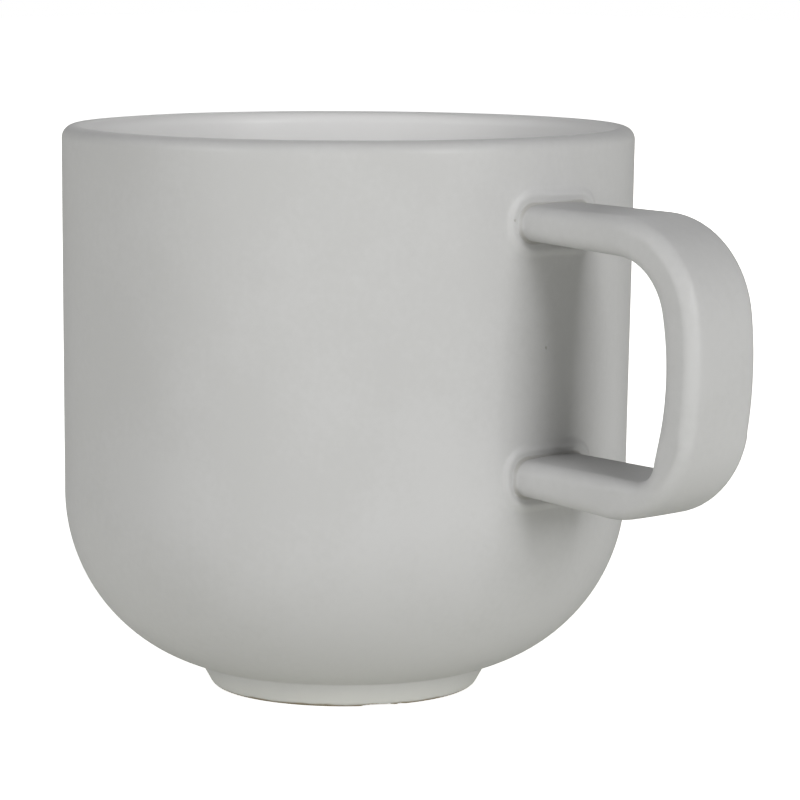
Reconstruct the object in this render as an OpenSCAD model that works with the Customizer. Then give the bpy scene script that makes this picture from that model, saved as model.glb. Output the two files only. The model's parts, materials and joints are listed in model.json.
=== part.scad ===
// Coffee cup: a straight-sided bowl on a small foot ring, with a square-shouldered strap handle.
// It is one piece of glazed stoneware. All sizes are in millimetres.
// The cup stands on its foot ring with the origin at the ring's centre on the table.
// +Z is up and +X runs out through the middle of the handle.

/* [Body] */
// Outer diameter at the rim
rim_d = 88; // [76:1:104]
// Height from the table to the top of the rim
cup_h = 87; // [76:1:120]
// How far the wall leans out from upright, in degrees
wall_lean = 0.6; // [0:0.1:2]
// Thickness of the wall where the shoulder begins
wall_t = 4.1; // [3:0.1:6]
// Thickness of the fully rounded rim
lip_t = 3.9; // [2.6:0.1:5]
// Radius of the shoulder curve on the outside
shoulder_r = 27.9; // [22:0.1:33]
// Radius of the curve between the wall and the floor on the inside
bowl_r = 24; // [19:0.5:29]
// Thickness of the floor in the middle
floor_t = 5; // [3.5:0.1:7]

/* [Foot] */
// Height of the lowest point of the shoulder curve above the table
foot_h = 3; // [2.6:0.1:6]
// Diameter of the foot where it meets the body
foot_d = 44.8; // [38:0.2:54]
// Outer diameter of the flat face that the cup stands on
stand_d = 38.4; // [34:0.2:42]
// Width of that flat face
stand_w = 2.6; // [1.5:0.1:4]
// Radius of the foot's lower outer edge
foot_edge_r = 1.8; // [0.6:0.1:2.4]
// Depth of the hollow inside the foot ring
hollow_h = 2.2; // [1:0.1:2.8]

/* [Handle] */
// Distance from the top of the rim down to the top of the handle
handle_drop = 9.7; // [5:0.1:16]
// Height of the handle where it meets the wall, over both arms
handle_span = 43; // [37:0.1:50]
// How far the grip's upper end stands out from the wall
handle_reach = 30.8; // [24:0.1:38]
// Width of the strap
strap_w = 14.5; // [11:0.1:18]
// Thickness of the upper arm at the wall
upper_arm_t = 5.4; // [4.5:0.1:8]
// Thickness of the lower arm at the wall
lower_arm_t = 5.7; // [4.5:0.1:8]
// Thickness of the upper arm at the corner
upper_arm_end_t = 5.9; // [5:0.1:8]
// Thickness of the lower arm at the corner
lower_arm_end_t = 6.9; // [5:0.1:9]
// Thickness of the grip at its upper end
grip_top_t = 6.6; // [5:0.1:9]
// Thickness of the grip at its lower end
grip_low_t = 5.5; // [4.5:0.1:8]
// Radius of the upper outer corner of the handle
outer_top_r = 15.7; // [12:0.1:17]
// Radius of the lower outer corner
outer_low_r = 15.1; // [12:0.1:17]
// Radius of the upper inner corner
inner_top_r = 9.7; // [6:0.1:12]
// Radius of the lower inner corner, which is nearly square
inner_low_r = 3.5; // [2:0.1:6]
// Radius of the strap's four long edges
edge_r = 2.2; // [1:0.1:2.4]
// Radius of the groove in which each end of the handle meets its welt
groove_r = 0.5; // [0.4:0.1:1.2]
// Width of the low welt of clay round each end of the handle
welt_w = 1.8; // [1.2:0.1:2.4]
// Height of that welt above the wall
welt_h = 0.35; // [0.2:0.05:0.6]
// How far the upper arm falls on its way out to the corner
upper_arm_fall = 0.9; // [0:0.1:3]
// How far the lower arm falls on its way out to the corner
lower_arm_fall = 2.3; // [0:0.1:4]
// How far the grip leans back towards the cup from top to bottom
grip_lean = 1.4; // [0:0.1:3]
// How far the middle of the grip's outer side is pushed out, before the bow is rounded
outer_bow = 3.2; // [1:0.1:5]
// How far the middle of the grip's inner side is pushed out, before the bow is rounded
inner_bow = 3.2; // [1:0.1:5]

/* [Chip in the foot] */
// Direction of the chip from the handle, in degrees
chip_angle = -29; // [-90:0.5:90]
// Length of the chip along the foot's lower edge
chip_l = 6; // [3:0.1:9]
// Height of the chip above the table
chip_h = 0.36; // [0.2:0.02:0.7]
// Angle from the chip to the small nick beside it, in degrees
nick_step = 10.5; // [8:0.5:16]

/* [Hidden] */
$fn = 96;
glaze_colour = [0.75, 0.75, 0.73];

blend = 0.002;                   // how far a straight side starts inside its arc, to cross it cleanly
arc_overlap = 4;                 // how far an arc carries on behind the straight side that follows it

// outer form
rim_r = rim_d / 2;
lip_r = lip_t / 2;
lip_z = cup_h - lip_r;           // height of the lip's centre
shoulder_cz = foot_h + shoulder_r;
shoulder_cr = rim_r - (lip_z - shoulder_cz) * tan(wall_lean) - shoulder_r / cos(wall_lean);
shoulder_z = shoulder_cz - shoulder_r * sin(wall_lean);

// hollow of the cup
mouth_r = rim_r - lip_t;
floor_z = hollow_h + floor_t;
bowl_cz = floor_z + bowl_r;
inner_lean = wall_lean + atan((wall_t - lip_t) / (lip_z - shoulder_z));
bowl_cr = mouth_r - (lip_z - bowl_cz) * tan(inner_lean) - bowl_r / cos(inner_lean);

// foot ring
stand_r = stand_d / 2;
foot_r = foot_d / 2;
foot_joint_z = shoulder_cz - sqrt(pow(shoulder_r, 2) - pow(foot_r - shoulder_cr, 2));
inner_edge_r = stand_w / 4;
hollow_r = stand_r - stand_w - inner_edge_r;

// handle
root_top_z = cup_h - handle_drop;
root_low_z = root_top_z - handle_span;
root_depth = wall_t / 2;
out_r = body_r(root_top_z) + handle_reach;
arc_steps = 9;                   // steps round each corner of the handle, and round each bow
bow_fill = 0.95;                 // share of the side between two corners that the bow's arc takes up
edge_steps = 6;                  // facets round each long edge of the strap
flat_cuts = 3;                   // cuts across each broad side of the strap
welt_shares = [0.15, 0.3, 0.5, 0.7, 0.85];
groove_angles = [60, 30, 0];
arm_shares = [0.4, 0.75];        // places along the arm between the groove and the corner

// Outer radius of the cup at height z
function body_r(z) =
    z >= shoulder_z
        ? rim_r - (lip_z - z) * tan(wall_lean)
        : shoulder_cr + sqrt(pow(shoulder_r, 2) - pow(shoulder_cz - z, 2));

// Distance in x of the wall's outer surface, at height z and y beside the handle's middle
function wall_x(y, z) = sqrt(pow(body_r(z), 2) - pow(y, 2));

// Half of a bowl's outline: flat bottom, one arc about centre c, then a wall that leans out to the point top
module bowl_outline(c, r, lean, top) {
    wall_start = r - blend;
    translate([0, c[1] - r])
        square([c[0], top[1] - c[1] + r]);
    intersection() {
        translate(c)
            circle(r);
        translate([c[0], c[1] - r])
            square([r, r + arc_overlap]);
    }
    polygon([
        [c[0], c[1] - wall_start * sin(lean)],
        c + wall_start * [cos(lean), -sin(lean)],
        top,
        [c[0], top[1]]
    ]);
}

// Half outline of the foot ring and the clay above it, from the table up into the body
module foot_outline() {
    edge_c = [stand_r, foot_edge_r];
    joint = [foot_r, foot_joint_z];
    flank_r = foot_edge_r - blend;
    reach = norm(joint - edge_c);
    touch_a = atan2(joint[1] - edge_c[1], joint[0] - edge_c[0]) - acos(flank_r / reach);
    translate(edge_c)
        circle(foot_edge_r);
    translate([hollow_r + inner_edge_r, inner_edge_r])
        circle(inner_edge_r);
    polygon([
        [hollow_r + inner_edge_r, 0],
        [stand_r, 0],
        edge_c,
        edge_c + flank_r * [cos(touch_a), sin(touch_a)],
        joint,
        [shoulder_cr, shoulder_cz],
        [0, shoulder_cz],
        [0, hollow_h],
        [hollow_r - hollow_h / 2, hollow_h],
        [hollow_r, inner_edge_r],
        [hollow_r + inner_edge_r, inner_edge_r]
    ]);
}

// The turned body: outer form and foot ring, less the hollow, with the full round lip put back on top
module body() {
    rotate_extrude() {
        difference() {
            union() {
                bowl_outline([shoulder_cr, shoulder_cz], shoulder_r, wall_lean, [rim_r, lip_z]);
                foot_outline();
            }
            bowl_outline([bowl_cr, bowl_cz], bowl_r, inner_lean, [mouth_r, lip_z]);
        }
        translate([rim_r - lip_r, lip_z])
            circle(lip_r);
    }
}

function mix(a, b, t) = a + (b - a) * t;

// Height at distance x of the straight line through the points p and q
function line_z(p, q, x) = mix(p[1], q[1], (x - p[0]) / (q[0] - p[0]));

// Points of the arc of radius r that rounds the corner b of the path a, b, c
function corner_arc(a, b, c, r) =
    let (u = (a - b) / norm(a - b))
    let (v = (c - b) / norm(c - b))
    let (half = acos(u * v) / 2)
    let (centre = b + (u + v) / norm(u + v) * r / sin(half))
    let (start = b + u * r / tan(half) - centre)
    let (turn = 180 - 2 * half)
    [for (k = [0 : arc_steps])
        let (t = -turn * k / arc_steps)
        centre + [start[0] * cos(t) - start[1] * sin(t), start[0] * sin(t) + start[1] * cos(t)]];

// Length that an arc of radius 1 takes up on each side of the corner b of the path a, b, c
function side_share(a, b, c) =
    1 / tan(acos((a - b) * (c - b) / (norm(a - b) * norm(c - b))) / 2);

// Radius of the bow over the middle point of the path p, in the room that the two corner arcs leave
function bow_r(p, r_top, r_low) =
    let (top_room = norm(p[2] - p[1]) - r_top * side_share(p[0], p[1], p[2]))
    let (low_room = norm(p[3] - p[2]) - r_low * side_share(p[2], p[3], p[4]))
    bow_fill * min(top_room, low_room) / side_share(p[1], p[2], p[3]);

// One side of the strap, from the end of the upper arm round to the start of the lower arm
function side_path(p, r_top, r_low) =
    concat(
        corner_arc(p[0], p[1], p[2], r_top),
        corner_arc(p[1], p[2], p[3], bow_r(p, r_top, r_low)),
        corner_arc(p[2], p[3], p[4], r_low)
    );

// The corners of the strap's outer side and of its inner side, from wall to wall, before rounding
outer_top = [out_r, root_top_z - upper_arm_fall];
outer_low = [out_r - grip_lean, root_low_z - lower_arm_fall];
inner_top = outer_top - [grip_top_t, upper_arm_end_t];
inner_low = outer_low + [-grip_low_t, lower_arm_end_t];
outer_side = [
    [body_r(root_top_z), root_top_z],
    outer_top,
    (outer_top + outer_low) / 2 + [outer_bow, 0],
    outer_low,
    [body_r(root_low_z), root_low_z]
];
inner_side = [
    [body_r(root_top_z), root_top_z - upper_arm_t],
    inner_top,
    (inner_top + inner_low) / 2 + [inner_bow, 0],
    inner_low,
    [body_r(root_low_z), root_low_z + lower_arm_t]
];
outer_path = side_path(outer_side, outer_top_r, outer_low_r);
inner_path = side_path(inner_side, inner_top_r, inner_low_r);

// Cross-section of the strap between the side points o and i, widened all round by flare.
// bend says how far it follows the wall's own curve: 0 is flat, 1 runs along the wall.
function section(o, i, flare, bend) =
    let (half_t = norm(o - i) / 2 + flare)
    let (half_w = strap_w / 2 + flare)
    let (e = min(edge_r, half_t - flare - 0.1) + flare)
    let (middle = (o + i) / 2)
    let (across = (o - i) / norm(o - i))
    let (signs = [[1, 1], [-1, 1], [-1, -1], [1, -1]])
    [for (q = [0 : 3])
        for (k = [0 : edge_steps + (q % 2 == 0 ? flat_cuts : 0)])
            let (a = 90 * (q + min(k / edge_steps, 1)))
            let (slide = 2 * (half_w - e) * max(0, k - edge_steps) / (flat_cuts + 1))
            let (y = signs[q][0] * (half_w - e - slide) + e * cos(a))
            let (v = signs[q][1] * (half_t - e) + e * sin(a))
            let (p = middle + across * v)
            [p[0] + bend * (wall_x(y, p[1]) - wall_x(0, middle[1])), y, p[1]]];

// Cross-section of an arm at distance d from the wall
function arm_section(o_line, i_line, d, flare, bend) =
    let (x = (o_line[0][0] + i_line[0][0]) / 2 + d)
    section([x, line_z(o_line[0], o_line[1], x)], [x, line_z(i_line[0], i_line[1], x)], flare, bend);

// Sections of an arm from inside the wall over the welt and through the groove, up to the corner.
// end_x is where the first of the two sides leaves the straight.
function arm(o_line, i_line, end_x) =
    let (dip = 0.3)
    let (dip_flare = groove_r + welt_w + dip * welt_w / (welt_h * PI))
    let (groove_x = (o_line[0][0] + i_line[0][0]) / 2 + groove_r)
    concat(
        [arm_section(o_line, i_line, -root_depth, dip_flare, 1)],
        [arm_section(o_line, i_line, -dip, dip_flare, 1)],
        [for (s = welt_shares)
            arm_section(o_line, i_line, welt_h * sin(180 * s), groove_r + welt_w * (1 - s), 1)],
        [for (a = groove_angles)
            arm_section(o_line, i_line, groove_r * (1 - sin(a)), groove_r * (1 - cos(a)), 1)],
        [for (s = arm_shares)
            arm_section(o_line, i_line, groove_r + (end_x - groove_x) * s, 0, 1 - s)]
    );

function reversed(list) = [for (k = [len(list) - 1 : -1 : 0]) list[k]];

// Skin over a row of rings, closed at both ends by a fan
module skin(rings) {
    n = len(rings[0]);
    last = (len(rings) - 1) * n;
    polyhedron(
        points = [for (ring = rings) for (p = ring) p],
        faces = concat(
            [for (r = [0 : len(rings) - 2])
                for (k = [0 : n - 1])
                    let (a = r * n + k, b = r * n + (k + 1) % n)
                    each [[a, b + n, b], [a, a + n, b + n]]],
            [for (k = [1 : n - 2]) [0, k, k + 1]],
            [for (k = [1 : n - 2]) [last, last + k + 1, last + k]]
        )
    );
}

// The strap handle, swept in one skin from root to root
module handle() {
    last = len(outer_path) - 1;
    upper_end = min(outer_path[0][0], inner_path[0][0]);
    lower_end = min(outer_path[last][0], inner_path[last][0]);
    skin(concat(
        arm([outer_side[0], outer_side[1]], [inner_side[0], inner_side[1]], upper_end),
        [for (k = [0 : last]) section(outer_path[k], inner_path[k], 0, 0)],
        reversed(arm([outer_side[4], outer_side[3]], [inner_side[4], inner_side[3]], lower_end))
    ));
}

// A flake out of the foot's lower edge at the given angle: a shallow scoop of length l and height h
module flake(angle, l, h) {
    scoop_r = (pow(l / 2, 2) + pow(h, 2)) / (2 * h);
    rotate(angle)
        translate([stand_r + foot_edge_r, 0, h - scoop_r])
            sphere(scoop_r);
}

module cup() {
    color(glaze_colour)
        difference() {
            union() {
                body();
                handle();
            }
            flake(chip_angle, chip_l, chip_h);
            flake(chip_angle + nick_step, chip_l / 2, chip_h / 2);
        }
}

cup();
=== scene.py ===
# %% [markdown]
# # A stoneware coffee cup, from outline to glaze
# This lesson builds one ceramic cup: a turned body on a small foot ring, and a strap handle.
# The solid model of the cup is loaded first. It fixes every size, so what is made here is
# the same cup with its soft details, its glaze and its light.

# %% Load the solid model
import math

import bmesh
import bpy
from mathutils import Matrix, Vector, noise
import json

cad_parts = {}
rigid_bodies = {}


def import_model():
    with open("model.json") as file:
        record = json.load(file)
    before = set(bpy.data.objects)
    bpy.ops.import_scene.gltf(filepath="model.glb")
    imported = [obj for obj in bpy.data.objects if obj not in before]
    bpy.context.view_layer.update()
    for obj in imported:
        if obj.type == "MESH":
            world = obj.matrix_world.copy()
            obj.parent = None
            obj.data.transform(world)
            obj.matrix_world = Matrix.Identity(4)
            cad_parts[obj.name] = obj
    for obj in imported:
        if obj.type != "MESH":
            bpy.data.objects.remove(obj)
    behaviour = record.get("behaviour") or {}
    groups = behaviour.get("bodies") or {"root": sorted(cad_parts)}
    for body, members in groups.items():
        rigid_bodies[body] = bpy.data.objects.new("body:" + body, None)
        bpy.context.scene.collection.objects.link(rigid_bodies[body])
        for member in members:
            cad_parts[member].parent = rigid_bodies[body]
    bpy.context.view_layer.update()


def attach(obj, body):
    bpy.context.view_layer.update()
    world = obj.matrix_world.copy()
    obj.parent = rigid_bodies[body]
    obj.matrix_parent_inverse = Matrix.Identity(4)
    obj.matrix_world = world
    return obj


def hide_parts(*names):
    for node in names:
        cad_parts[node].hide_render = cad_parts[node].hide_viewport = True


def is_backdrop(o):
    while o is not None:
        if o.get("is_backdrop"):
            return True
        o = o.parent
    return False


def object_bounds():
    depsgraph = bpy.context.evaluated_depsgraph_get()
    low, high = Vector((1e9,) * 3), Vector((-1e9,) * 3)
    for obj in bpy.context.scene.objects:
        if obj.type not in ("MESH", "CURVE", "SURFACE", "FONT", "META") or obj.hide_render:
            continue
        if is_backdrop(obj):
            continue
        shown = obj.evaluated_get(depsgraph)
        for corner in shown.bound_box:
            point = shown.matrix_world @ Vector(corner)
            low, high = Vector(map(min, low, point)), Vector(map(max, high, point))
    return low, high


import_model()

# %% [markdown]
# ## Sizes
# A potter's drawing of a cup has few numbers: the rim, the height, the wall and the radii of
# the curves. They are written in millimetres, as on such a drawing, and the finished mesh is
# scaled to metres once. The cup stands at the origin, and its handle points along +X.

# %% Sizes of the turned body
MM = 0.001                   # one millimetre in metres
CUP_H = 87.0                 # table to the top of the rim
RIM_R = 44.0                 # outer radius at the lip's centre
LIP_T = 3.9                  # thickness of the round lip
LIP_Z = CUP_H - LIP_T / 2    # height of the lip's centre
WALL_LEAN = math.radians(0.6)
INNER_LEAN = math.radians(0.81)  # more than outside, so the wall is thicker further down
SHOULDER_R = 27.9            # the large curve from the wall to the foot
SHOULDER_CZ = 30.9           # height of that curve's centre
BOWL_R = 24.0                # the curve inside, from the wall to the floor
FLOOR_Z = 7.2                # height of the bowl's floor
FOOT_R = 22.4                # the foot where it meets the body
STAND_R = 19.2               # outer edge of the face that it stands on
STAND_W = 2.6                # width of that face
FOOT_FLARE = 1.06            # how far the foot's side would reach past it, without its rounding
FOOT_EDGE_R = 1.8            # the foot's lower edge
HOLLOW_H = 2.2               # depth of the hollow under the foot
HOLLOW_SLOPE = 1.6           # how far the hollow's side runs inwards
TURN_STEPS = 240             # steps round the body


def wall_radius(z):
    """Outer radius of the straight wall at height z."""
    return RIM_R - (LIP_Z - z) * math.tan(WALL_LEAN)


# the shoulder's centre lies so far from the axis that its curve touches the wall
SHOULDER_CR = wall_radius(SHOULDER_CZ) - SHOULDER_R / math.cos(WALL_LEAN)
FOOT_JOINT_Z = SHOULDER_CZ - math.sqrt(SHOULDER_R ** 2 - (FOOT_R - SHOULDER_CR) ** 2)
print("foot meets the body at height", round(FOOT_JOINT_Z, 2), "mm")

# %% [markdown]
# ## The outline of the body
# A cup like this is jiggered or thrown, so every level section is a circle. In Blender that
# is a job for Spin: half of the outline is drawn once and turned round the axis.
# The outline starts as a list of corners, from the middle of the bowl's floor up over the
# lip and down to the middle of the underside, each with the radius that rounds it.

# %% Corners of the outline
def slope_meets_wall(z, r, slope):
    """Where a line that rises with the given slope from (r, z) meets the line of the outer wall."""
    lean = math.tan(WALL_LEAN)
    run = (wall_radius(z) - r) / (1 - slope * lean)
    return r + run, z + run * slope


shoulder_slope = (FOOT_R - SHOULDER_CR) / (SHOULDER_CZ - FOOT_JOINT_Z)
shoulder_corner = slope_meets_wall(FOOT_JOINT_Z, FOOT_R, shoulder_slope)
inner_corner_r = RIM_R - LIP_T - (LIP_Z - FLOOR_Z) * math.tan(INNER_LEAN)

corners = [                              # radius, height, radius of the rounding
    (0, FLOOR_Z, 0),
    (inner_corner_r, FLOOR_Z, BOWL_R),
    (RIM_R - LIP_T, CUP_H, LIP_T / 2),
    (RIM_R, CUP_H, LIP_T / 2),
    (*shoulder_corner, SHOULDER_R),
    (FOOT_R, FOOT_JOINT_Z, 0.5),
    (STAND_R + FOOT_FLARE, 0, FOOT_EDGE_R),
    (STAND_R - STAND_W, 0, 0.6),
    (STAND_R - STAND_W - HOLLOW_SLOPE, HOLLOW_H, 0.8),
    (0, HOLLOW_H, 0),
]
print("shoulder corner before rounding:", [round(c, 2) for c in shoulder_corner])

# %% [markdown]
# A vertex bevel would round the corners too, but it makes a true arc only in a square corner.
# The shoulder isn't square, and its curve is what one sees first on this cup. So each arc is
# made by spinning one vertex about the arc's own centre.

# %% Draw the outline with true arcs
ARC_STEP = 0.9               # about the length of one step on the larger arcs
SAME_PLACE = 0.001           # points closer than this become one


def arc_of(before, corner, after, radius):
    """Centre, start and signed swing of the arc that touches both sides of a corner."""
    u, v = (before - corner).normalized(), (after - corner).normalized()
    half = u.angle(v) / 2
    centre = corner + (u + v).normalized() * (radius / math.sin(half))
    start, end = (corner + side * (radius / math.tan(half)) for side in (u, v))
    sense = 1 if (start - centre).cross(end - centre).y > 0 else -1
    return centre, start, sense * (math.pi - 2 * half)


places = [Vector((r, 0, z)) for r, z, _ in corners]
body = bmesh.new()
tip = body.verts.new(places[0])
for k in range(1, len(corners) - 1):
    radius = corners[k][2]
    centre, start, swing = arc_of(places[k - 1], places[k], places[k + 1], radius)
    first = body.verts.new(start)
    body.edges.new((tip, first))
    made = bmesh.ops.spin(body, geom=[first], cent=centre, axis=(0, 1, 0), angle=swing,
                          steps=max(10, round(radius * abs(swing) / ARC_STEP)))
    tip = next(g for g in made["geom_last"] if isinstance(g, bmesh.types.BMVert))
body.edges.new((tip, body.verts.new(places[-1])))
bmesh.ops.remove_doubles(body, verts=body.verts[:], dist=SAME_PLACE)
print("outline:", len(body.verts), "points, reaches", round(max(v.co.x for v in body.verts), 2), "mm")

# %% [markdown]
# The long straight stretches get cuts every millimetre or so. A flat wall needs none for its
# shape, but the small unevenness that comes later can only move points that are there.

# %% Cut the long stretches and turn the outline
LONG = 4.0                   # an edge longer than this is cut
CUT_EVERY = 1.25

for edge in [e for e in body.edges if e.calc_length() > LONG]:
    bmesh.ops.subdivide_edges(body, edges=[edge], cuts=int(edge.calc_length() / CUT_EVERY))

bmesh.ops.spin(body, geom=body.verts[:] + body.edges[:], cent=(0, 0, 0), axis=(0, 0, 1),
               angle=math.tau, steps=TURN_STEPS, use_merge=True)
bmesh.ops.remove_doubles(body, verts=body.verts[:], dist=SAME_PLACE)
bmesh.ops.recalc_face_normals(body, faces=body.faces[:])
print("turned body:", len(body.faces), "faces, closed:", all(e.is_manifold for e in body.edges))

# %% [markdown]
# ## The handle
# The handle is a strap of clay, pulled and bent, thinnest where it leaves the wall, with a tight
# lower corner inside. It could be a curve with a bevel, but the strap's thickness changes on its
# way and its two sides turn with different radii. So both sides are drawn, and the strap runs
# between them.

# %% Sizes of the handle
STRAP_W = 14.5
EDGE_R = 2.2                 # radius of the strap's four long edges
TOP_Z = CUP_H - 9.7          # upper side of the upper arm at the wall
LOW_Z = TOP_Z - 43.0         # lower side of the lower arm at the wall
TOP_ARM_T, LOW_ARM_T = 5.4, 5.7  # thickness of the arms at the wall
OUT_R = wall_radius(TOP_Z) + 30.8  # how far out the upper corner stands
LOW_BACK = 1.4               # how much nearer to the cup the lower corner stands
TOP_DROP, LOW_DROP = 0.9, 2.3  # how far each arm's outer side falls on its way out
TOP_CORNER_T = (6.6, 5.9)    # from the outer to the inner corner: inwards, and down or up
LOW_CORNER_T = (5.5, 6.9)
BOW = 3.2                    # how far the grip's middle is pushed out, before it is rounded

outer_top = Vector((OUT_R, 0, TOP_Z - TOP_DROP))
outer_low = Vector((OUT_R - LOW_BACK, 0, LOW_Z - LOW_DROP))
inner_top = outer_top + Vector((-TOP_CORNER_T[0], 0, -TOP_CORNER_T[1]))
inner_low = outer_low + Vector((-LOW_CORNER_T[0], 0, LOW_CORNER_T[1]))


def five_corners(top, low, thickness_top, thickness_low):
    """Corners of one side of the strap, from the wall round the handle and back to the wall."""
    return [Vector((wall_radius(TOP_Z), 0, TOP_Z - thickness_top)), top,
            (top + low) / 2 + Vector((BOW, 0, 0)), low,
            Vector((wall_radius(LOW_Z), 0, LOW_Z + thickness_low))]


outer_side = five_corners(outer_top, outer_low, 0, 0)
inner_side = five_corners(inner_top, inner_low, TOP_ARM_T, LOW_ARM_T)
print("handle's corner stands out to", round(OUT_R, 2), "mm")

# %% [markdown]
# Each side of the strap is a path of five corners: wall, upper corner, middle of the grip,
# lower corner, wall. All three inner corners are rounded. The arc over the middle is as large
# as the room between the other two allows, so the grip bows out in one soft sweep, as it does
# when wet clay is bent by hand.

# %% Draw the two sides of the strap
TURN_CUTS = 16
OUTER_TURNS = (15.7, 15.1)   # radii of the upper and the lower corner
INNER_TURNS = (9.7, 3.5)
BOW_FILL = 0.95              # how much of the room between the two corners the bow takes up


def turn(before, corner, after, radius):
    """Points of the arc that rounds a corner, from the side before it to the side after it."""
    centre, start, swing = arc_of(before, corner, after, radius)
    return [centre + Matrix.Rotation(swing * k / TURN_CUTS, 3, "Y") @ (start - centre)
            for k in range(TURN_CUTS + 1)]


def side_share(before, corner, after):
    """Length that an arc of radius 1 takes up on each side of a corner."""
    return 1 / math.tan((before - corner).angle(after - corner) / 2)


def strap_side(p, top_r, low_r):
    """One side of the strap between its arms: upper corner, bow of the grip, lower corner."""
    top_room = (p[2] - p[1]).length - top_r * side_share(p[0], p[1], p[2])
    low_room = (p[3] - p[2]).length - low_r * side_share(p[2], p[3], p[4])
    bow_r = BOW_FILL * min(top_room, low_room) / side_share(p[1], p[2], p[3])
    return [place for k, radius in enumerate((top_r, bow_r, low_r))
            for place in turn(p[k], p[k + 1], p[k + 2], radius)]


outer_path = strap_side(outer_side, *OUTER_TURNS)
inner_path = strap_side(inner_side, *INNER_TURNS)
print("stations round the handle:", len(outer_path), "and", len(inner_path))

# %% [markdown]
# The arms are straight, and each runs into the wall with its full section. On the real cup
# the potter presses the strap on with slip, and a crease stays where the two meet. The rings
# near the wall follow the wall's curve, so the crease has close rings along it, and the first
# ring closes the strap inside the wall.

# %% Stations from wall to wall
ROOT_DEPTHS = [-2.0, 0.0, 0.06, 0.15, 0.3, 0.5, 0.8, 1.2, 1.7]  # from the wall outwards
ARM_SHARES = [0.15, 0.3, 0.45, 0.6, 0.75, 0.9]                  # of the rest of an arm


def point_on(line, x):
    """Point of a straight side at distance x from the cup's axis."""
    (x0, _, z0), (x1, _, z1) = line
    return Vector((x, 0, z0 + (z1 - z0) * (x - x0) / (x1 - x0)))


def arm(outer_line, inner_line, end_x):
    """Stations of an arm, from inside the wall to just before the corner.
    Each is outer point, inner point, and how far the ring follows the wall's curve."""
    root_x = wall_radius((outer_line[0].z + inner_line[0].z) / 2)
    straight = end_x - root_x - ROOT_DEPTHS[-1]
    row = [(d, 1.0) for d in ROOT_DEPTHS]
    row += [(ROOT_DEPTHS[-1] + straight * share, 1 - share) for share in ARM_SHARES]
    return [(point_on(outer_line, root_x + d), point_on(inner_line, root_x + d), bend)
            for d, bend in row]


upper_arm = arm(outer_side[:2], inner_side[:2], min(outer_path[0].x, inner_path[0].x))
lower_arm = arm(outer_side[:2:-1], inner_side[:2:-1], min(outer_path[-1].x, inner_path[-1].x))
stations = upper_arm + [(o, i, 0.0) for o, i in zip(outer_path, inner_path)] + lower_arm[::-1]
print("rings from wall to wall:", len(stations))

# %% [markdown]
# The strap is made straight first, as a potter pulls it. A rectangle with rounded corners is
# its section, and it is extruded once for every station, one unit at a time. So the X of a
# point says to which station it belongs, and its Y and Z say where it lies in the section.

# %% Pull the strap straight
HALF_W = STRAP_W / 2
HALF_T = 3.4                 # of the straight strap; each ring gets its own when it is bent

strap = bmesh.new()
section = [strap.verts.new((0, y, z)) for y, z in
           ((HALF_W, HALF_T), (-HALF_W, HALF_T), (-HALF_W, -HALF_T), (HALF_W, -HALF_T))]
for a, b in zip(section, section[1:] + section[:1]):
    strap.edges.new((a, b))
bmesh.ops.bevel(strap, geom=section, offset=EDGE_R, offset_type="OFFSET", segments=10,
                profile=0.5, affect="VERTICES", material=-1)
for edge in [e for e in strap.edges if e.calc_length() > LONG]:
    bmesh.ops.subdivide_edges(strap, edges=[edge], cuts=7)

ring = strap.edges[:]
strap_points = len(strap.verts)
for _ in stations[1:]:
    made = bmesh.ops.extrude_edge_only(strap, edges=ring)["geom"]
    ring = [g for g in made if isinstance(g, bmesh.types.BMEdge)
            and all(v in made for v in g.verts)]
    bmesh.ops.translate(strap, vec=(1, 0, 0),
                        verts=[g for g in made if isinstance(g, bmesh.types.BMVert)])
bmesh.ops.holes_fill(strap, edges=[e for e in strap.edges if e.is_boundary], sides=0)
print("straight strap:", strap_points, "points round,", len(strap.faces), "faces")

# %% [markdown]
# Now the strap is bent. Every point looks up its station and takes its place in the section
# there. The rounded edges keep their radius, and only the flat between them grows with the
# strap's thickness. The broad faces get a slight crown, because clay between two hands is
# never quite flat.

# %% Sections of the strap
CROWN = 0.12                 # rise of each broad face from its edges to its middle
ROOT_CROWN = 0.5             # the same at the wall, where the strap's end is rounder
CROWN_MEAN = 0.3             # share of it that is added in the middle; the rest comes off the edges


def in_section(y, z, half_t, crown):
    """Height in a section of thickness 2 * half_t, for a point of the straight strap."""
    flat = HALF_T - EDGE_R
    thick = min(abs(z) / flat, 1) * (half_t - EDGE_R) + max(0.0, abs(z) - flat)
    thick += crown * (CROWN_MEAN - (y / HALF_W) ** 2) * thick / half_t
    return math.copysign(thick, z)


print("the upper arm is", round(2 * in_section(0, HALF_T, TOP_ARM_T / 2, ROOT_CROWN), 2),
      "mm thick in its middle, at the wall")

# %% [markdown]
# Near the wall the section spreads into a small fillet, because the joint is smoothed with a
# finger. The strap's two rounded ends get most of that, and its broad sides stay sharper.

# %% Bend the strap into the handle
SMOOTHED_R = 0.8             # radius of the fillet at the two rounded ends
BROAD_SHARE = 0.4            # share of that radius above and below an arm


def wall_x(y, z):
    """Distance in X of the wall's surface at a place beside the handle's middle."""
    return math.sqrt(wall_radius(z) ** 2 - y ** 2)


def fillet(depth, radius):
    """How far a fillet of this radius stands out of the strap, this far from the wall."""
    short = radius - max(0.0, depth)
    return radius - math.sqrt(radius ** 2 - short ** 2) if short > 0 else 0.0


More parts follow.
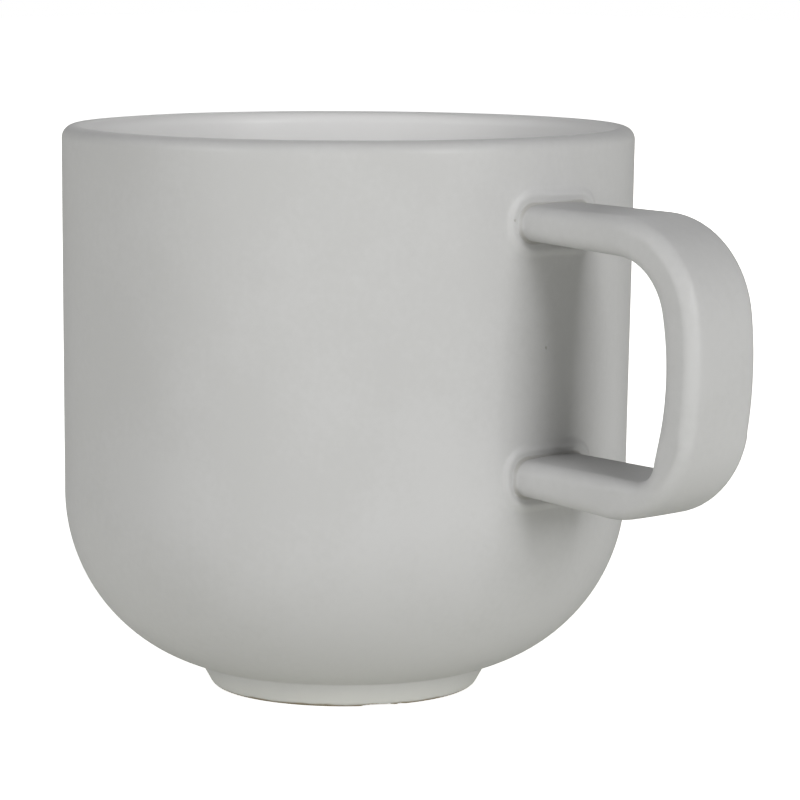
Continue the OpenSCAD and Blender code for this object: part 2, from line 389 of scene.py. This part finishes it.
def smoothed(y, high, half_t, depth):
    """A point of the section, moved out to the fillet: across and up in the section."""
    side = max(0.0, abs(y) - HALF_W + EDGE_R)
    top = max(0.0, abs(high) - half_t + EDGE_R)
    facing = Vector((math.copysign(side, y), math.copysign(top, high))).normalized()
    out = fillet(depth, SMOOTHED_R * (1 - (1 - BROAD_SHARE) * abs(facing.y)))
    return y + facing.x * out, high + facing.y * out


for v in strap.verts:
    outer, inner, bend = stations[round(v.co.x)]
    middle, half_t = (outer + inner) / 2, (outer - inner).length / 2
    y = v.co.y
    high = in_section(y, v.co.z, half_t, CROWN + (ROOT_CROWN - CROWN) * bend)
    if bend == 1:
        y, high = smoothed(y, high, half_t, middle.x - wall_radius(middle.z))
    place = middle + (outer - inner).normalized() * high
    follow = wall_x(y, place.z) - wall_x(0, middle.z)
    v.co = (place.x + bend * follow, y, place.z)
bmesh.ops.recalc_face_normals(strap, faces=strap.faces[:])
print("handle from", round(min(v.co.z for v in strap.verts), 1), "to",
      round(max(v.co.z for v in strap.verts), 1), "mm high")

# %% [markdown]
# ## The welt round each joint
# Clay that is pressed out when the handle goes on is smoothed to a low welt around it. It
# belongs to the wall, so the wall's faces are cut finer there, and the points round the strap
# are pushed out. How far depends on the gap between a point and the strap's outline, and a
# little noise makes it waver, as a thing made by hand does.

# %% Measure the gap to the strap
# for each joint the height of its middle, and half its thickness
JOINTS = [((side_a.z + side_b.z) / 2, (side_a.z - side_b.z) / 2)
          for side_a, side_b in ((outer_side[0], inner_side[0]), (inner_side[-1], outer_side[-1]))]


def strap_gap(place):
    """Distance from a place on the wall to the nearer strap end; less than zero under it."""
    gaps = []
    for joint_z, half_t in JOINTS:
        dy = abs(place.y) - (HALF_W - EDGE_R)
        dz = abs(place.z - joint_z) - (half_t - EDGE_R)
        gaps.append(math.hypot(max(dy, 0), max(dz, 0)) + min(max(dy, dz), 0) - EDGE_R)
    return min(gaps)


print("middles of the joints, in mm:", [round(joint_z, 1) for joint_z, _ in JOINTS])

# %% Raise the welts
GROOVE = 0.2                 # gap between the strap's section and the welt
WELT_W = 2.3
WELT_H = 0.36
GAP_WAVER, GAP_WAVE = 0.12, 5  # how much the gap wavers, as a share, and how long a wave is
TOP_WAVER, TOP_WAVE = 0.25, 4  # the same for the welt's height
HANDLE_SIDE_X = 30           # only points beyond this can be near the handle


def on_outer_wall(place):
    """True for a place on the outside of the cup, on the handle's side."""
    return place.x > HANDLE_SIDE_X and place.xy.length > wall_radius(place.z) - 0.5


def outwards(place):
    """Level direction from the cup's axis to a place."""
    return Vector((place.x, place.y, 0)).normalized()


# the faces are cut from a little under the strap to a little beyond the welt
near_joint = [e for e in body.edges
              if all(on_outer_wall(v.co) and -1.5 < strap_gap(v.co) < WELT_W + 1 for v in e.verts)]
bmesh.ops.subdivide_edges(body, edges=near_joint, cuts=4, use_grid_fill=True)
raised = 0
for v in body.verts:
    if on_outer_wall(v.co):
        gap = strap_gap(v.co) * (1 + GAP_WAVER * noise.noise(v.co / GAP_WAVE))
        share = (gap - GROOVE) / WELT_W
        if 0 < share < 1:
            top = WELT_H * (1 + TOP_WAVER * noise.noise(v.co / TOP_WAVE))
            v.co += outwards(v.co) * top * math.sin(math.pi * share) ** 2
            raised += 1
print("points in the welts:", raised)

# %% [markdown]
# ## Pinholes
# In the kiln, bubbles rise through the glaze and burst, and a few leave a pit. They are smaller
# than the wall's faces, so the faces round each one are cut fine before its middle is pushed in.

# %% Press the pinholes in
PINHOLES = [                 # place, radius, and cuts; the second lies where the welt is cut already
    (Vector((43.64, -1.79, 56.23)), 0.34, 10),
    (Vector((43.36, -8.53, 75.21)), 0.36, 2),
]
PIT_DEPTH = 0.16
PIT_ROOM = 1.5               # the faces this near to a pinhole are cut

for spot, pit_r, cuts in PINHOLES:
    around = [e for e in body.edges if all((v.co - spot).length < PIT_ROOM for v in e.verts)]
    bmesh.ops.subdivide_edges(body, edges=around, cuts=cuts, use_grid_fill=True)
    pressed = 0
    for v in body.verts:
        away = (v.co - spot).length / pit_r
        if away < 1:
            v.co -= outwards(v.co) * PIT_DEPTH * (1 - away ** 2) ** 2
            pressed += 1
    print("points in a pinhole:", pressed)

# %% [markdown]
# ## One cup
# Body and handle are one fired piece, so they go into one mesh. A mesh can hold two closed
# shells that run into each other, and the ends of the strap are hidden inside the wall.
# A value on every point says how near it lies to the crease between the two, for the painted shade there.

# %% Put the handle on the body
handle_mesh = bpy.data.meshes.new("handle_only")
strap.to_mesh(handle_mesh)
strap.free()
body.from_mesh(handle_mesh)
bpy.data.meshes.remove(handle_mesh)

CREASE_W = 0.6               # the value is 1 on the joint's line and 0 this far from it
crease = body.verts.layers.float.new("crease")
for v in body.verts:
    if v.co.x > HANDLE_SIDE_X:
        off_wall = v.co.x - wall_x(v.co.y, v.co.z)
        v[crease] = max(0.0, 1 - math.hypot(off_wall, strap_gap(v.co)) / CREASE_W)
print("cup:", len(body.faces), "faces")

# %% [markdown]
# ## The chip in the foot
# A flake has come off the foot's lower edge, on the side of the handle. It is longer than it
# is high, steep at one end and flat at the other, with a nick beyond it. The faces there are
# cut finer, and then the points under the broken edge are lifted to it.

# %% Break the chip out
CHIP = [                     # direction in degrees, height of the broken edge
    (-38.2, 0.0), (-37.0, 0.06), (-35.2, 0.34), (-32.0, 0.4), (-27.0, 0.4), (-24.0, 0.34),
    (-22.2, 0.18), (-20.6, 0.14), (-19.2, 0.3), (-17.0, 0.16), (-15.0, 0.0),
]
CHIP_IN_R = STAND_R - 1.3    # how near to the axis the chip comes
CHIP_RISE_W = 0.9            # on this width it rises from there to its full height
CHIP_TOP_Z = 0.7             # no point above this lies under the broken edge
CHIP_ROUGH = 0.25            # how rough the broken edge is, as a share of its height


def chip_height(angle):
    """Height of the broken edge above the table, by direction in degrees."""
    for (a0, h0), (a1, h1) in zip(CHIP, CHIP[1:]):
        if a0 <= angle <= a1:
            return h0 + (h1 - h0) * (angle - a0) / (a1 - a0)
    return 0.0


def direction(place):
    """Direction of a place from the axis, in degrees from +X."""
    return math.degrees(math.atan2(place.y, place.x))


def near_chip(place):
    """True in the stretch of the foot's lower edge that is cut finer for the chip."""
    return (CHIP[0][0] - 2 < direction(place) < CHIP[-1][0] + 2 and place.z < 1.6
            and STAND_R - 1.4 < place.xy.length < STAND_R + 3)


bmesh.ops.subdivide_edges(body, edges=[e for e in body.edges if all(near_chip(v.co) for v in e.verts)],
                          cuts=3, use_grid_fill=True)
lifted = 0
for v in body.verts:
    if v.co.z > CHIP_TOP_Z or v.co.xy.length < CHIP_IN_R:
        continue
    broken_z = chip_height(direction(v.co)) * min(1.0, (v.co.xy.length - CHIP_IN_R) / CHIP_RISE_W)
    broken_z *= 1 + CHIP_ROUGH * noise.noise(v.co * 2.2)
    if v.co.z < broken_z:
        v.co.z = broken_z
        lifted += 1
print("points in the chip:", lifted)

# %% [markdown]
# ## Small unevenness
# A fired cup is never as true as a drawing. It leans a trace to one side from the kiln, and
# its wall swells and dips by a few hundredths of a millimetre. A noise field that depends
# only on the place moves wall and handle together, so they stay joined. It gets a seed, so it
# is the same field in every run.

# %% Lean and swell
KILN_LEAN = 0.0064           # sideways, for each millimetre of height
LEAN_TURN = math.radians(45.62)  # direction of the lean, from +X towards +Y
LEAN_TO = Vector((math.cos(LEAN_TURN), math.sin(LEAN_TURN), 0))
SWELL = 0.05
SWELL_SIZE = 24              # rough length of one swell
SWELL_SEED = 1               # noise_vector takes its start from the clock if it gets no seed
TRUE_FOOT_H = 8              # the swells grow up to this height, so that the foot stands flat

noise.seed_set(SWELL_SEED)
for v in body.verts:
    share = min(1.0, max(0.0, v.co.z / TRUE_FOOT_H))
    v.co += noise.noise_vector(v.co / SWELL_SIZE) * SWELL * share
    v.co += LEAN_TO * (KILN_LEAN * v.co.z)
bmesh.ops.scale(body, vec=(MM, MM, MM), verts=body.verts[:])
bmesh.ops.triangulate(body, faces=[f for f in body.faces if len(f.verts) > 4])
print("rim moves by", round(KILN_LEAN * CUP_H, 2), "mm")

# %% [markdown]
# The mesh becomes an object at the origin. It rides on the solid model's body and takes the place
# of its node.

# %% Make the object
cup_mesh = bpy.data.meshes.new("coffee_cup")
body.to_mesh(cup_mesh)
body.free()
cup_mesh.shade_smooth()
cup = bpy.data.objects.new("coffee_cup", cup_mesh)
bpy.context.scene.collection.objects.link(cup)
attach(cup, "root")
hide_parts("cup")
print("triangles:", sum(len(p.vertices) - 2 for p in cup_mesh.polygons))

# %% [markdown]
# ## The glaze
# The glaze is a satin, light grey. A picture wrapped round the cup could colour it, but the
# joints and the foot have no good seam for one. So nearly everything is worked out from the
# place on the cup, with noise textures on Object coordinates, and is the same from every side.
# Only the painted shade in the creases comes from the value on the mesh's points.
# A few small functions keep the node trees short.

# %% Tools for building materials
def add_node(tree, kind, **settings):
    """Adds a node and sets its properties and unlinked inputs by name."""
    node = tree.nodes.new(kind)
    for name, value in settings.items():
        if hasattr(node, name):
            setattr(node, name, value)
        else:
            node.inputs[name.replace("_", " ")].default_value = value
    return node


def ramp(tree, factor, low, high, out_low, out_high):
    """Maps a value between two limits to a value between two others, smoothly."""
    node = add_node(tree, "ShaderNodeMapRange", interpolation_type="SMOOTHSTEP")
    node.inputs["From Min"].default_value = low
    node.inputs["From Max"].default_value = high
    node.inputs["To Min"].default_value = out_low
    node.inputs["To Max"].default_value = out_high
    tree.links.new(factor, node.inputs["Value"])
    return node.outputs["Result"]


def noise_value(tree, where, scale, detail=2.0, rough=0.5):
    """A noise texture's value; scale is in waves per metre."""
    node = add_node(tree, "ShaderNodeTexNoise", Scale=scale, Detail=detail, Roughness=rough)
    tree.links.new(where, node.inputs["Vector"])
    return node.outputs["Fac"]


def math_node(tree, kind, a, b=0.5):
    """A math node; each input is a socket or a number."""
    node = add_node(tree, "ShaderNodeMath", operation=kind)
    for socket, value in zip(node.inputs, (a, b)):
        if isinstance(value, (int, float)):
            socket.default_value = value
        else:
            tree.links.new(value, socket)
    return node.outputs[0]


def mix_colour(tree, factor, a, b):
    """Mixes two colours; each input is a socket, a colour or a number."""
    node = add_node(tree, "ShaderNodeMix", data_type="RGBA")
    for socket, value in ((node.inputs[0], factor), (node.inputs[6], a), (node.inputs[7], b)):
        if isinstance(value, (tuple, float)):
            socket.default_value = value
        else:
            tree.links.new(value, socket)
    return node.outputs[2]


print("node functions: add_node, ramp, noise_value, math_node, mix_colour")

# %% [markdown]
# Up close the glaze isn't one grey. It has faint clouds, where it ran a little thicker, and a
# fine grain of crystals. One noise with waves of about 20 mm and one with waves of about 1 mm
# are added, and their sum mixes two greys that lie close together.

# %% Clouds and grain
GLAZE = (0.56, 0.559, 0.557, 1)
GLAZE_LIGHT = (0.585, 0.584, 0.584, 1)

glaze = bpy.data.materials.new("satin_glaze")
glaze.use_nodes = True
tree = glaze.node_tree
shader = tree.nodes["Principled BSDF"]
where = add_node(tree, "ShaderNodeTexCoord").outputs["Object"]

clouds = noise_value(tree, where, 45.0, 3.0)
grain = noise_value(tree, where, 900.0, 2.0)
tone = math_node(tree, "ADD", math_node(tree, "MULTIPLY", clouds, 0.75),
                 math_node(tree, "MULTIPLY", grain, 0.25))
glaze_colour = mix_colour(tree, ramp(tree, tone, 0.38, 0.62, 0.0, 1.0), GLAZE, GLAZE_LIGHT)
print("greys from", GLAZE[:3], "to", GLAZE_LIGHT[:3])

# %% [markdown]
# Inside, the cup is painted paler: this is painted light, for the brightness that falls into the
# bowl. Inside and outside are one closed surface, so a mask has to tell them apart. The bowl's
# curve has its centres on a level circle, and above it one can think of a tube of the same width.
# A place counts as inside when it lies within about 26 mm of that circle or tube, which is as far
# as the middle of the floor and the wall.

# %% Painted light: paler inside
# painted light: a paler colour inside the bowl, for the light that falls into it
PAINTED_LIGHT_INSIDE = (0.815, 0.812, 0.806, 1)
CENTRES_R, CENTRES_Z = 0.0154, 0.031  # radius and height of the circle of centres, in metres
INSIDE_UP_TO, OUTSIDE_FROM = 0.0250, 0.0275  # the mask fades out between these distances

height = add_node(tree, "ShaderNodeSeparateXYZ")
tree.links.new(where, height.inputs[0])
flat_place = add_node(tree, "ShaderNodeCombineXYZ")
tree.links.new(height.outputs["X"], flat_place.inputs["X"])
tree.links.new(height.outputs["Y"], flat_place.inputs["Y"])
radial = add_node(tree, "ShaderNodeVectorMath", operation="LENGTH")
tree.links.new(flat_place.outputs[0], radial.inputs[0])
beyond = math_node(tree, "MAXIMUM",
                   math_node(tree, "SUBTRACT", radial.outputs["Value"], CENTRES_R), 0.0)
below = math_node(tree, "MINIMUM", math_node(tree, "SUBTRACT", height.outputs["Z"], CENTRES_Z), 0.0)
reach = math_node(tree, "SQRT", math_node(tree, "ADD", math_node(tree, "MULTIPLY", beyond, beyond),
                                          math_node(tree, "MULTIPLY", below, below)))
inside = ramp(tree, reach, INSIDE_UP_TO, OUTSIDE_FROM, 1.0, 0.0)
# the inside gets the painted light
glaze_colour = mix_colour(tree, inside, glaze_colour, PAINTED_LIGHT_INSIDE)
print("inside up to", 1000 * INSIDE_UP_TO, "mm, outside from", 1000 * OUTSIDE_FROM, "mm")

# %% [markdown]
# In the crease round each end of the handle the glaze is painted darker and a little brown: this is
# painted shade, where the strap and the wall meet. The value that was put on the mesh's points says
# where. The pinholes are painted darker in the same colour, and their places have moved with the
# lean of the cup.

# %% Painted shade in the creases, and darker pinholes
# painted shade for the creases; the pinholes are darkened with the same colour
CREASE_SHADE_AND_PIT_DARK = (0.3, 0.285, 0.25, 1)

in_crease = add_node(tree, "ShaderNodeAttribute", attribute_name="crease").outputs["Fac"]
# painted shade: darker towards the crease line round each end of the strap
glaze_colour = mix_colour(tree, ramp(tree, in_crease, 0.1, 0.8, 0.0, 0.5), glaze_colour, CREASE_SHADE_AND_PIT_DARK)
# each pinhole is painted darker towards its middle
for spot, pit_r, _ in PINHOLES:
    apart = add_node(tree, "ShaderNodeVectorMath", operation="DISTANCE")
    tree.links.new(where, apart.inputs[0])
    apart.inputs[1].default_value = (spot + LEAN_TO * (KILN_LEAN * spot.z)) * MM
    pit_darkening = ramp(tree, apart.outputs["Value"], 0.3 * pit_r * MM, 0.8 * pit_r * MM, 0.6, 0.0)
    glaze_colour = mix_colour(tree, pit_darkening, glaze_colour, CREASE_SHADE_AND_PIT_DARK)
print("pinholes in the glaze:", len(PINHOLES))

# %% [markdown]
# On the foot the glaze is a little yellower and paler; part of the paleness is painted light, for
# the light that the floor sends up to the foot. The potter wipes the glaze off the edge that
# stands on the kiln's shelf, so that the cup doesn't stick there, and bare brownish clay is
# left. Both limits go by the height, and a noise lets them wander by up to 0.7 mm.

# %% Foot and bare clay
# a little yellower than the wall, and paler partly as painted light for the floor's light from below
FOOT_GLAZE_AND_PAINTED_LIGHT = (0.635, 0.635, 0.62, 1)
CLAY = (0.31, 0.265, 0.19, 1)

wander = math_node(tree, "MULTIPLY", noise_value(tree, where, 260.0, 3.0), 0.0007)
glaze_edge = math_node(tree, "ADD", height.outputs["Z"], wander)
foot_tone = ramp(tree, glaze_edge, 0.0012, 0.0046, 1.0, 0.0)
bare = ramp(tree, glaze_edge, 0.0006, 0.001, 1.0, 0.0)
toned = mix_colour(tree, foot_tone, glaze_colour, FOOT_GLAZE_AND_PAINTED_LIGHT)
tree.links.new(mix_colour(tree, bare, toned, CLAY), shader.inputs["Base Color"])
print("foot", FOOT_GLAZE_AND_PAINTED_LIGHT[:3], "and clay", CLAY[:3])

# %% [markdown]
# A satin glaze is neither matt nor mirror-like. Its gloss changes with the clouds, and bare
# clay is duller. Seen at a flat angle a satin surface scatters more, so the white room doesn't
# shine on the cup's sides. A faint bump breaks up the highlights, but makes no shape.

# %% Gloss and bump
FLAT_DULLNESS = 0.6          # roughness that is added at a flat angle

dullness = math_node(tree, "ADD", ramp(tree, clouds, 0.3, 0.7, 0.34, 0.42),
                     math_node(tree, "MULTIPLY", bare, 0.35))
flat_view = add_node(tree, "ShaderNodeLayerWeight", Blend=0.5).outputs["Facing"]
flat_view = math_node(tree, "POWER", flat_view, 2.0)
dullness = math_node(tree, "ADD", dullness, math_node(tree, "MULTIPLY", flat_view, FLAT_DULLNESS))
tree.links.new(dullness, shader.inputs["Roughness"])
shader.inputs["Specular IOR Level"].default_value = 0.22

bump = add_node(tree, "ShaderNodeBump", Strength=0.1, Distance=0.0002)
tree.links.new(math_node(tree, "ADD", grain, math_node(tree, "MULTIPLY", clouds, 1.5)),
               bump.inputs["Height"])
tree.links.new(bump.outputs["Normal"], shader.inputs["Normal"])
cup_mesh.materials.append(glaze)
print("glaze nodes:", len(tree.nodes))

# %% [markdown]
# ## Floor and background
# The cup stands on a plain pale floor in front of a white background. The floor is a real
# surface: it sends light up to the underside of the cup, and it keeps the cup's own shadow.
# For the camera and in reflections it also glows, and a little more with the distance, so that
# far away it is as white as the background and no horizon shows.

# %% Floor
FLOOR_COLOUR = (0.88, 0.885, 0.81, 1)
GLOW_NEAR, GLOW_FAR = 0.88, 1.0
NEAR_R, FAR_R = 0.07, 0.25   # distances from the cup's middle at which the glow is so strong


def seen_directly(tree):
    """1 for what the camera sees, also in a mirror or through glass, and 0 for lighting."""
    rays = add_node(tree, "ShaderNodeLightPath")
    return math_node(tree, "MAXIMUM", rays.outputs["Is Camera Ray"],
                     math_node(tree, "MAXIMUM", rays.outputs["Is Glossy Ray"],
                               rays.outputs["Is Transmission Ray"]))


floor_bm = bmesh.new()
bmesh.ops.create_grid(floor_bm, x_segments=4, y_segments=4, size=3.0)
floor_mesh = bpy.data.meshes.new("floor")
floor_bm.to_mesh(floor_mesh)
floor_bm.free()
floor = bpy.data.objects.new("floor", floor_mesh)
bpy.context.scene.collection.objects.link(floor)
floor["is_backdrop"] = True

white = bpy.data.materials.new("white_floor")
white.use_nodes = True
tree = white.node_tree
shader = tree.nodes["Principled BSDF"]
shader.inputs["Base Color"].default_value = FLOOR_COLOUR
shader.inputs["Roughness"].default_value = 0.9
shader.inputs["Specular IOR Level"].default_value = 0.1
shader.inputs["Emission Color"].default_value = (1, 1, 1, 1)
far = add_node(tree, "ShaderNodeVectorMath", operation="LENGTH")
tree.links.new(add_node(tree, "ShaderNodeTexCoord").outputs["Object"], far.inputs[0])
glow = ramp(tree, far.outputs["Value"], NEAR_R, FAR_R, GLOW_NEAR, GLOW_FAR)
tree.links.new(math_node(tree, "MULTIPLY", seen_directly(tree), glow), shader.inputs["Emission Strength"])
floor_mesh.materials.append(white)
print("floor glows from", GLOW_NEAR, "to", GLOW_FAR)

# %% [markdown]
# The world has two jobs. It is the white that the camera sees behind the cup, and it is the
# light of the room. As the room's light it is nearly off, because an even light from all sides
# would wash the shadows out.

# %% Background
AMBIENT = 0.005

world = bpy.data.worlds.new("studio")
bpy.context.scene.world = world
world.use_nodes = True
tree = world.node_tree
backdrop = tree.nodes["Background"]
backdrop.inputs["Color"].default_value = (1, 1, 1, 1)
tree.links.new(ramp(tree, seen_directly(tree), 0.0, 1.0, AMBIENT, 1.0), backdrop.inputs["Strength"])
print("background is white, the room's own light is", AMBIENT)

# %% [markdown]
# ## Light
# The lamps are large soft boxes, as in a product studio. They are named by where they stand,
# seen from the camera. The one straight behind the cup barely reaches its sides, but without
# it the cup would be nearly black from behind.

# %% Lamps
CAMERA_TURN = 45.62          # the camera stands this far round from -Y towards +X, in degrees
CUP_MIDDLE = Vector((0, 0, 0.045))
LAMP_DISTANCE = 1.6


def soft_box(name, turn_deg, height_deg, width, tall, power):
    """An area lamp that faces the cup. Its turn counts from the camera, positive to the right."""
    lamp = bpy.data.lights.new(name, "AREA")
    lamp.shape = "RECTANGLE"
    lamp.size, lamp.size_y = width, tall
    lamp.energy = power
    box = bpy.data.objects.new(name, lamp)
    a, e = math.radians(CAMERA_TURN + turn_deg), math.radians(height_deg)
    out = Vector((math.sin(a) * math.cos(e), -math.cos(a) * math.cos(e), math.sin(e)))
    box.location = CUP_MIDDLE + out * LAMP_DISTANCE
    box.rotation_euler = (-out).to_track_quat("-Z", "Y").to_euler()
    bpy.context.scene.collection.objects.link(box)
    return box


soft_box("key_right", 40, 22, 0.6, 0.9, 12.0)
soft_box("key_low", 42, 6, 0.5, 0.5, 2.9)
soft_box("fill_left", -61, 22, 0.9, 0.9, 6.0)
soft_box("fill_narrow", -48, 15, 0.4, 0.9, 4.0)
soft_box("low_front", -25, 8, 0.6, 0.4, 1.3)
soft_box("floor_front", -3, 2, 0.8, 0.3, 2.5)
soft_box("straight_behind", 180, 24, 0.4, 0.5, 6.5)

# %% [markdown]
# ## Camera
# The camera stands about 0.6 m from the cup and a little above it, and looks down by seven
# degrees. Its long lens keeps the sides of the cup almost parallel.

# %% Camera
CAMERA_AT = (0.43108, -0.42185, 0.1194)
AIM_TURN = CAMERA_TURN - 0.82  # it aims a little past the axis, because the handle needs room
AIM_DOWN = 7.089
ROLL = 0.247

camera_data = bpy.data.cameras.new("camera")
camera_data.sensor_width = 36
camera_data.lens = 176.43
camera = bpy.data.objects.new("camera", camera_data)
bpy.context.scene.collection.objects.link(camera)
turned = Matrix.Rotation(math.radians(AIM_TURN), 4, "Z")
tipped = Matrix.Rotation(math.radians(90 - AIM_DOWN), 4, "X")
rolled = Matrix.Rotation(math.radians(ROLL), 4, "Z")
camera.matrix_world = Matrix.Translation(CAMERA_AT) @ turned @ tipped @ rolled
bpy.context.scene.camera = camera
bpy.context.scene.view_settings.view_transform = "Standard"
print("camera at", [round(c, 3) for c in camera.location])

# %% [markdown]
# ## The size of the finished cup
# The finished cup has to fill the same box as the solid model, so its box is printed in millimetres.

# %% Finish
import json

low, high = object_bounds()
print("cup, in mm:", [round(1000 * c, 1) for c in (*low, *high)])
